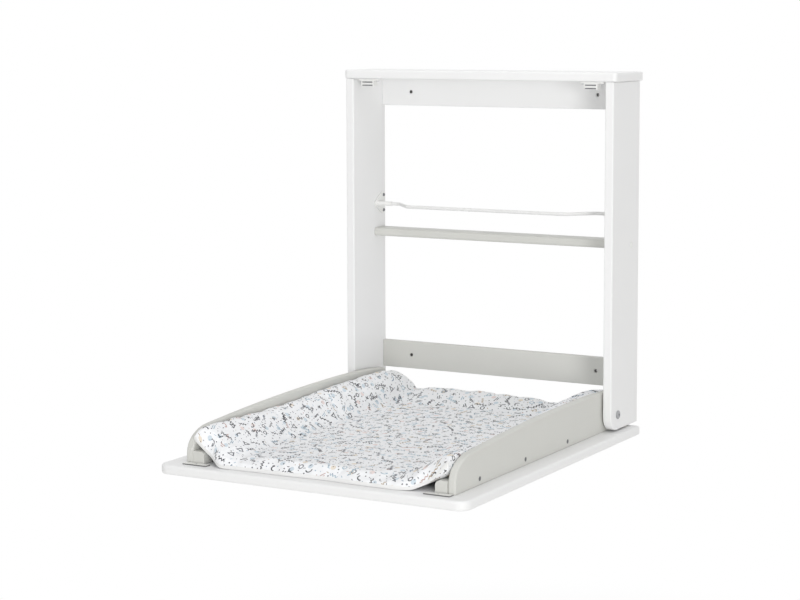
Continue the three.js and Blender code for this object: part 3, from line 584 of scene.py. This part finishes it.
def matTop(x, y, v=matShape):
    foot, crest, rise = sideLine(y)
    out = np.clip((np.abs(x) - foot) / (crest - foot), 0, 1)
    slope, roll = out ** 2 * 1.12 / (out + 0.12), out ** 0.36
    side = rise * (slope + (roll - slope) * easeBetween(y, *v["rollFrom"]))
    places, rims = np.array(v["rearLine"]).T
    rear = np.interp(x, places, rims) * easeBetween(y, v["rearFoot"], v["rearEdge"] - 0.02)
    rear = rear * (1 - easeBetween(np.abs(x), foot, foot + 0.020))
    crown = v["crown"] * np.maximum(0, 1 - (x / foot) ** 2)
    return v["boardTop"] + v["thickness"] + np.hypot(side, rear) + crown


def matUnder(x, v=matShape):
    return v["boardTop"] + 0.0006 + v["leanSlope"] * np.maximum(0, np.abs(x) - v["leanFrom"])


def matFullness(x, y, thickness, v=matShape):
    # the hem is thin, and the pad grows full within a short way from it
    def grown(inset, hem):
        thin = np.minimum(1, hem / thickness)
        return thin + (1 - thin) * np.sqrt(1 - (1 - np.clip(inset, 0, 1)) ** 2)
    sideHem = np.interp(y, [v["cheekFront"], v["rearEdge"]], v["sideHem"])
    sides = grown((v["halfWidth"] - np.abs(x)) / (v["halfWidth"] - sideLine(y)[1]), sideHem)
    rear = grown((v["rearEdge"] - y) / v["rimRound"], v["sideHem"][0])
    return np.minimum(sides * rear, 1) * grown((y - matFront(x)) / v["frontRound"], v["hem"])


def seamDistance(x, y, v=matShape):
    # the sewn lines: both feet of the raised sides and, between them, the foot of the rear rim
    foot = sideLine(y)[0]
    side = np.abs(np.abs(x) - foot)
    rear = np.hypot(y - v["rearFoot"], np.maximum(0, np.abs(x) - foot))
    return np.minimum(side, rear)


def wander(x, y, tilt):
    # slow, uneven waves of the wadding
    first = np.sin(x * 37 + y * 11 + tilt) * np.sin(y * 29 - x * 13 + 2.1 * tilt)
    return first + 0.5 * np.sin(x * 71 - y * 43 + 1.7 * tilt) * np.sin(y * 67 + x * 31 + 0.6 * tilt)


def gridRows(v):
    # places of the mat's rows and columns, closer together at its edges
    column = np.interp(np.linspace(0, 1, v["columns"] + 1), [0, 4 / v["columns"], 1 - 4 / v["columns"], 1],
                       [-v["halfWidth"], v["rimRound"] - v["halfWidth"],
                        v["halfWidth"] - v["rimRound"], v["halfWidth"]])
    share = np.linspace(0, 1, v["rows"] + 1)
    x = np.tile(column, (v["rows"] + 1, 1))
    y = np.zeros_like(x)
    turn = np.minimum(1, share * v["rows"] / 8) * math.pi / 2       # the first rows follow a quarter round
    for number, front in enumerate(matFront(column)):
        y[:, number] = np.interp(share, [0, 8 / v["rows"], 1 - 4 / v["rows"], 1],
                                 [front, front + v["frontRound"], v["rearEdge"] - 0.012, v["rearEdge"]])
        y[:8, number] = front + v["frontRound"] * (1 - np.cos(turn[:8]))
    return x, y


def layMat(v):
    clearSelection()
    bpy.ops.mesh.primitive_grid_add(x_subdivisions=v["columns"], y_subdivisions=v["rows"], size=1)
    mat = bpy.context.object
    mat.name = "paddedMat"
    under = mat.modifiers.new("underside", "SOLIDIFY")
    under.thickness, under.offset = 0.02, -1
    bpy.ops.object.modifier_apply(modifier=under.name)
    x, y = gridRows(v)
    high, low = matTop(x, y), matUnder(x)
    full = matFullness(x, y, high - low)
    loss = (high - low) * (1 - full)
    lines = seamDistance(x, y)
    loose = np.clip(full, 0, 1) ** 2 * (1 - np.exp(-(lines / 0.02) ** 2))
    outer = np.clip((np.abs(x) - v["cornerLiftFrom"]) / (v["halfWidth"] - v["cornerLiftFrom"]), 0, 1)
    lift = v["hemLift"] + np.where(x < 0, *v["cornerLift"]) * outer ** 2
    top = high - (1 - lift) * loss - v["slack"] * loose + v["waves"] * loose * wander(x, y, 0.4)
    above = np.stack([x, y, top], axis=2)
    below = np.stack([x, y, low + lift * loss], axis=2)
    setPoints(mat, np.concatenate([above.reshape(-1, 3), below.reshape(-1, 3)]))
    held = np.exp(-(lines / 0.006) ** 2)
    held[[0, -1], :] = 1
    held[:, [0, -1]] = 1
    mapCloth(mat, above, below)
    return mat, np.concatenate([held.ravel(), np.ones(held.size)])


def mapCloth(mat, above, below):
    # the cloth's own directions in metres, measured over its surface from the middle and the front;
    # around the edges the print runs on down to the underside
    across = np.linalg.norm(np.diff(above, axis=1), axis=2).cumsum(axis=1)
    across = np.pad(across, ((0, 0), (1, 0)))
    across = across - across[:, [across.shape[1] // 2]]
    along = np.pad(np.linalg.norm(np.diff(above, axis=0), axis=2).cumsum(axis=0), ((1, 0), (0, 0)))
    place = np.stack([across.ravel(), along.ravel()], axis=1)
    drop = np.linalg.norm(above - below, axis=2).ravel()
    corner = np.zeros(len(mat.data.loops), int)
    mat.data.loops.foreach_get("vertex_index", corner)
    cloth = place[corner % len(place)]
    rows, columns = across.shape
    for face in mat.data.polygons:
        tops = [number for number in face.vertices if number < len(place)]
        if len(tops) != 2:
            continue
        row, column = {number // columns for number in tops}, {number % columns for number in tops}
        outwards = np.array([(column == {columns - 1}) - (column == {0}), (row == {rows - 1}) - (row == {0})])
        for number in face.loop_indices:
            if corner[number] >= len(place):
                cloth[number] += outwards * drop[corner[number] - len(place)]
    layer = mat.data.uv_layers[0] if mat.data.uv_layers else mat.data.uv_layers.new()
    layer.name = "cloth"
    layer.data.foreach_set("uv", cloth.ravel())


def swellMat(mat, held, v):
    group = mat.vertex_groups.new(name="sewn")
    for number, weight in enumerate(held):
        if weight > 0.01:
            group.add([number], float(weight), "REPLACE")
    before = pointsOf(mat)
    cloth = mat.modifiers.new("swell", "CLOTH")
    wadding = cloth.settings
    wadding.quality = 6
    wadding.mass = 0.25
    wadding.tension_stiffness = wadding.compression_stiffness = 14
    wadding.shear_stiffness = 6
    wadding.bending_stiffness = 0.3
    wadding.use_pressure = True
    wadding.uniform_pressure_force = v["pressure"]
    wadding.shrink_min = -0.02
    wadding.effector_weights.gravity = 0
    wadding.vertex_group_mass = group.name
    cloth.point_cache.frame_start, cloth.point_cache.frame_end = 1, v["frames"]
    for number in range(1, v["frames"] + 1):
        scene.frame_set(number)
    swollen = mat.evaluated_get(bpy.context.evaluated_depsgraph_get())
    after = pointsOf(swollen)
    mat.modifiers.remove(cloth)
    scene.frame_set(1)
    move = after - before
    length = np.linalg.norm(move, axis=1, keepdims=True)
    print("mat swelled by up to %.1f mm" % (1000 * length.max()))
    setPoints(mat, before + move * np.minimum(1, v["swellCap"] / np.maximum(length, 1e-9)))


def sewMat(mat, v):
    # after the swelling: finer mesh, sewn lines drawn in, small puckers beside them
    workOn(mat)
    finer = mat.modifiers.new("finer", "SUBSURF")
    finer.levels = finer.render_levels = 1
    bpy.ops.object.modifier_apply(modifier=finer.name)
    points, normals = pointsOf(mat), normalsOf(mat)
    x, y = points[:, 0], points[:, 1]
    lines = seamDistance(x, y)
    along = np.where(np.abs(np.abs(x) - sideLine(y)[0]) < np.abs(y - v["rearFoot"]), y, x)
    pucker = np.sin(along * 330 + 1.5 * np.sin(along * 57)) * np.exp(-(lines / 0.016) ** 2)
    isTop = normals[:, 2] > 0.2
    shift = np.where(isTop, 0.0005 * pucker - v["seamDepth"] * np.exp(-(lines / v["seamWidth"]) ** 2), 0)
    points = points + normals * shift[:, None]
    points[:, 0] = np.clip(points[:, 0], -0.2626, 0.2626)
    points[:, 1] = np.maximum(points[:, 1], np.where(np.abs(x) > 0.226, v["cheekFront"] + 0.0022, -0.7488))
    points[:, 2] = np.maximum(points[:, 2], matUnder(points[:, 0]) - 0.0003)
    setPoints(mat, points)
    bpy.ops.object.shade_smooth()


def bindHem(mat, v):
    # white tape folded over the front edge
    workOn(mat)
    bpy.ops.object.duplicate()
    tape = bpy.context.object
    tape.name = "hemTape"
    cloth = np.zeros(len(tape.data.loops) * 2)
    tape.data.uv_layers["cloth"].data.foreach_get("uv", cloth)
    keep = [cloth[1::2][list(face.loop_indices)].mean() < v["tapeWidth"] for face in tape.data.polygons]
    bpy.ops.object.mode_set(mode="EDIT")
    bpy.ops.mesh.select_all(action="DESELECT")
    bpy.ops.object.mode_set(mode="OBJECT")
    for face, kept in zip(tape.data.polygons, keep):
        face.select = not kept
    bpy.ops.object.mode_set(mode="EDIT")
    bpy.ops.mesh.select_mode(type="FACE")
    bpy.ops.mesh.delete(type="FACE")
    bpy.ops.object.mode_set(mode="OBJECT")
    wall = tape.modifiers.new("tapeThickness", "SOLIDIFY")
    wall.thickness, wall.offset = v["tapeThickness"], 0.5
    bpy.ops.object.modifier_apply(modifier=wall.name)
    bpy.ops.object.shade_smooth_by_angle(angle=math.radians(50))
    return tape


hemShape = {"tapeWidth": 0.0030, "tapeThickness": 0.0009}


cotton = {
    "ground": srgb(249, 250, 252),
    "threads": 1500.0,
    "longCell": 0.0540,          # one long row of peaks to each cell
    "largeCell": 0.0250,         # one larger figure to each cell
    "smallCell": 0.0102,         # one dot or tick to each cell
    "spotCell": 0.0300,          # one pale spot to each cell
    "inks": [                    # share of the figures from here on, colour
        (0.00, srgb(54, 55, 62)), (0.58, srgb(98, 101, 109)), (0.74, srgb(172, 192, 204)),
        (0.86, srgb(120, 142, 160)), (0.91, srgb(182, 165, 142)), (0.96, srgb(196, 168, 162))],
    "paleInks": [(0.00, srgb(213, 224, 232)), (0.60, srgb(236, 226, 212)), (0.82, srgb(238, 224, 221))],
}


def inkRamp(tree, chance, inks):
    ramp = put(tree, "ValToRGB", None, {"Fac": chance})
    ramp.color_ramp.interpolation = "CONSTANT"
    stops = ramp.color_ramp.elements
    while len(stops) < len(inks):
        stops.new(1.0)
    for stop, (place, colour) in zip(stops, inks):
        stop.position, stop.color = place, colour
    return ramp.outputs[0]


def cellPlaces(tree, cloth, size, stray, tilt):
    # splits the cloth into tilted cells; gives each cell's chances and the place in it in millimetres, turned
    laid = put(tree, "VectorRotate", {"rotation_type": "Z_AXIS"}, {"Vector": cloth, "Angle": math.radians(tilt)})
    spots = calcVector(tree, "DIVIDE", laid.outputs[0], (size, size, 1))
    cell = calcVector(tree, "FLOOR", spots)
    first = put(tree, "TexWhiteNoise", {"noise_dimensions": "2D"}, {"Vector": cell})
    moved = calcVector(tree, "ADD", cell, (37.5, 11.5, 0))
    second = put(tree, "TexWhiteNoise", {"noise_dimensions": "2D"}, {"Vector": moved})
    off = calcVector(tree, "MULTIPLY", calcVector(tree, "SUBTRACT", second.outputs["Color"], (0.5, 0.5, 0.5)),
                     (stray, stray, 0))
    inside = calcVector(tree, "SUBTRACT", calcVector(tree, "SUBTRACT", spots, cell), (0.5, 0.5, 0))
    inside = calcVector(tree, "MULTIPLY", calcVector(tree, "SUBTRACT", inside, off),
                        (size * 1000, size * 1000, 0))
    chances = put(tree, "SeparateColor", None, {"Color": first.outputs["Color"]})
    angle = calc(tree, "MULTIPLY", chances.outputs[0], 6.283)
    turned = put(tree, "VectorRotate", {"rotation_type": "Z_AXIS"}, {"Vector": inside, "Angle": angle})
    parts = put(tree, "SeparateXYZ", None, {"Vector": turned.outputs[0]})
    return parts.outputs["X"], parts.outputs["Y"], chances.outputs[1], chances.outputs[2]


def line(tree, distance, halfWidth):
    return calc(tree, "LESS_THAN", distance, halfWidth)


def bar(tree, x, y, reach, halfWidth):
    return calc(tree, "MULTIPLY", line(tree, calc(tree, "ABSOLUTE", x), reach),
                line(tree, calc(tree, "ABSOLUTE", y), halfWidth))


def largeFigures(tree, x, y):
    # sizes in millimetres
    def apart(value, place):
        return calc(tree, "ABSOLUTE", calc(tree, "SUBTRACT", value, place))
    radius = fromMiddle(tree, x, y)
    hoop = line(tree, apart(radius, 4.2), 0.95)
    arch = calc(tree, "MULTIPLY", line(tree, apart(radius, 5.8), 1.1), calc(tree, "GREATER_THAN", y, 0.8))
    cross = calc(tree, "MAXIMUM", bar(tree, x, y, 4.6, 1.0), bar(tree, y, x, 4.6, 1.0))
    teeth = calc(tree, "MULTIPLY", calc(tree, "SUBTRACT", calc(tree, "PINGPONG", x, 3.0), 1.5), 1.2)
    zigzag = calc(tree, "MULTIPLY", line(tree, apart(y, teeth), 1.35), line(tree, calc(tree, "ABSOLUTE", x), 9.0))
    lean = calc(tree, "ADD", calc(tree, "MULTIPLY", calc(tree, "ABSOLUTE", x), 0.866),
                calc(tree, "MULTIPLY", y, 0.5))
    tent = line(tree, apart(calc(tree, "MAXIMUM", lean, calc(tree, "MULTIPLY", y, -1.0)), 3.2), 0.95)
    strokes = calc(tree, "MAXIMUM", bar(tree, x, calc(tree, "SUBTRACT", y, 1.9), 7.2, 0.9),
                   bar(tree, x, calc(tree, "ADD", y, 1.9), 4.6, 0.9))
    return [hoop, zigzag, cross, arch, strokes, zigzag, tent]


def longRow(tree, x, y):
    peaks = calc(tree, "MULTIPLY", calc(tree, "SUBTRACT", calc(tree, "PINGPONG", x, 3.4), 1.7), 1.35)
    height = calc(tree, "ABSOLUTE", calc(tree, "SUBTRACT", y, peaks))
    return calc(tree, "MULTIPLY", line(tree, height, 1.7), line(tree, calc(tree, "ABSOLUTE", x), 14.5))


def smallFigures(tree, x, y):
    radius = fromMiddle(tree, x, y)
    return [line(tree, radius, 1.4), bar(tree, x, y, 2.4, 0.7), line(tree, radius, 1.0)]


def chooseFigure(tree, figures, chance, used):
    # used is the share of cells that carry a figure at all
    total = 0.0
    for number, figure in enumerate(figures):
        low = calc(tree, "GREATER_THAN", chance, used * number / len(figures))
        high = calc(tree, "LESS_THAN", chance, used * (number + 1) / len(figures))
        total = calc(tree, "ADD", calc(tree, "MULTIPLY", calc(tree, "MULTIPLY", low, high), figure), total)
    return total


def cottonMaterial(values):
    material, tree, shader = newMaterial("printedCotton")
    cloth = put(tree, "UVMap", {"uv_map": "cloth"}).outputs[0]
    weave = placeGroup(tree, weaveGroup, {"Along": cloth, "Threads": values["threads"], "Slub": 0.05})
    x, y, chance, ink = cellPlaces(tree, cloth, values["spotCell"], 0.60, 31)
    spots = chooseFigure(tree, [line(tree, fromMiddle(tree, x, y), 5.0)], chance, 0.75)
    colour = mixColour(tree, spots, values["ground"], inkRamp(tree, ink, values["paleInks"]))
    x, y, chance, ink = cellPlaces(tree, cloth, values["smallCell"], 0.62, -23)
    dots = chooseFigure(tree, smallFigures(tree, x, y), chance, 0.80)
    colour = mixColour(tree, dots, colour, inkRamp(tree, ink, values["inks"]))
    x, y, chance, ink = cellPlaces(tree, cloth, values["largeCell"], 0.40, 14)
    figures = chooseFigure(tree, largeFigures(tree, x, y), chance, 0.95)
    colour = mixColour(tree, figures, colour, inkRamp(tree, ink, values["inks"]))
    x, y, chance, ink = cellPlaces(tree, cloth, values["longCell"], 0.34, 52)
    rows = chooseFigure(tree, [longRow(tree, x, y)], chance, 0.85)
    colour = mixColour(tree, rows, colour, inkRamp(tree, ink, values["inks"]))
    # the weave's tone, with its painted shade between threads, darkens the print
    tone = weave.outputs["Tone And Shade"]
    grey = put(tree, "CombineColor", None, {"Red": tone, "Green": tone, "Blue": tone})
    feed(tree, shader.inputs["Base Color"], mixColour(tree, 1.0, colour, grey.outputs[0], "MULTIPLY"))
    shader.inputs["Roughness"].default_value = 0.78
    shader.inputs["Specular IOR Level"].default_value = 0.3
    shader.inputs["Sheen Weight"].default_value = 0.15
    bumpInto(tree, shader, weave.outputs["Height"], 0.35, 0.0003)
    return material


def tapeMaterial():
    material, tree, shader = newMaterial("hemTape")
    cloth = put(tree, "UVMap", {"uv_map": "cloth"}).outputs[0]
    weave = placeGroup(tree, weaveGroup, {"Along": cloth, "Threads": 1100.0, "Slub": 0.05})
    # the weave's tone, with its painted shade between threads, darkens the tape
    tone = weave.outputs["Tone And Shade"]
    grey = put(tree, "CombineColor", None, {"Red": tone, "Green": tone, "Blue": tone})
    white = srgb(240, 240, 239)
    feed(tree, shader.inputs["Base Color"], mixColour(tree, 1.0, white, grey.outputs[0], "MULTIPLY"))
    shader.inputs["Roughness"].default_value = 0.8
    shader.inputs["Sheen Weight"].default_value = 0.15
    bumpInto(tree, shader, weave.outputs["Height"], 0.5, 0.0003)
    return material


paddedMat, heldPoints = layMat(matShape)
swellMat(paddedMat, heldPoints, matShape)
sewMat(paddedMat, matShape)
hemTape = bindHem(paddedMat, hemShape)
paddedMat.data.materials.append(cottonMaterial(cotton))
hemTape.data.materials.append(tapeMaterial())
for piece in (paddedMat, hemTape):
    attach(piece, "changing_board")
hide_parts("changing_mat")
print("mat laid, swelled, sewn and bound:", len(paddedMat.data.polygons), "faces")
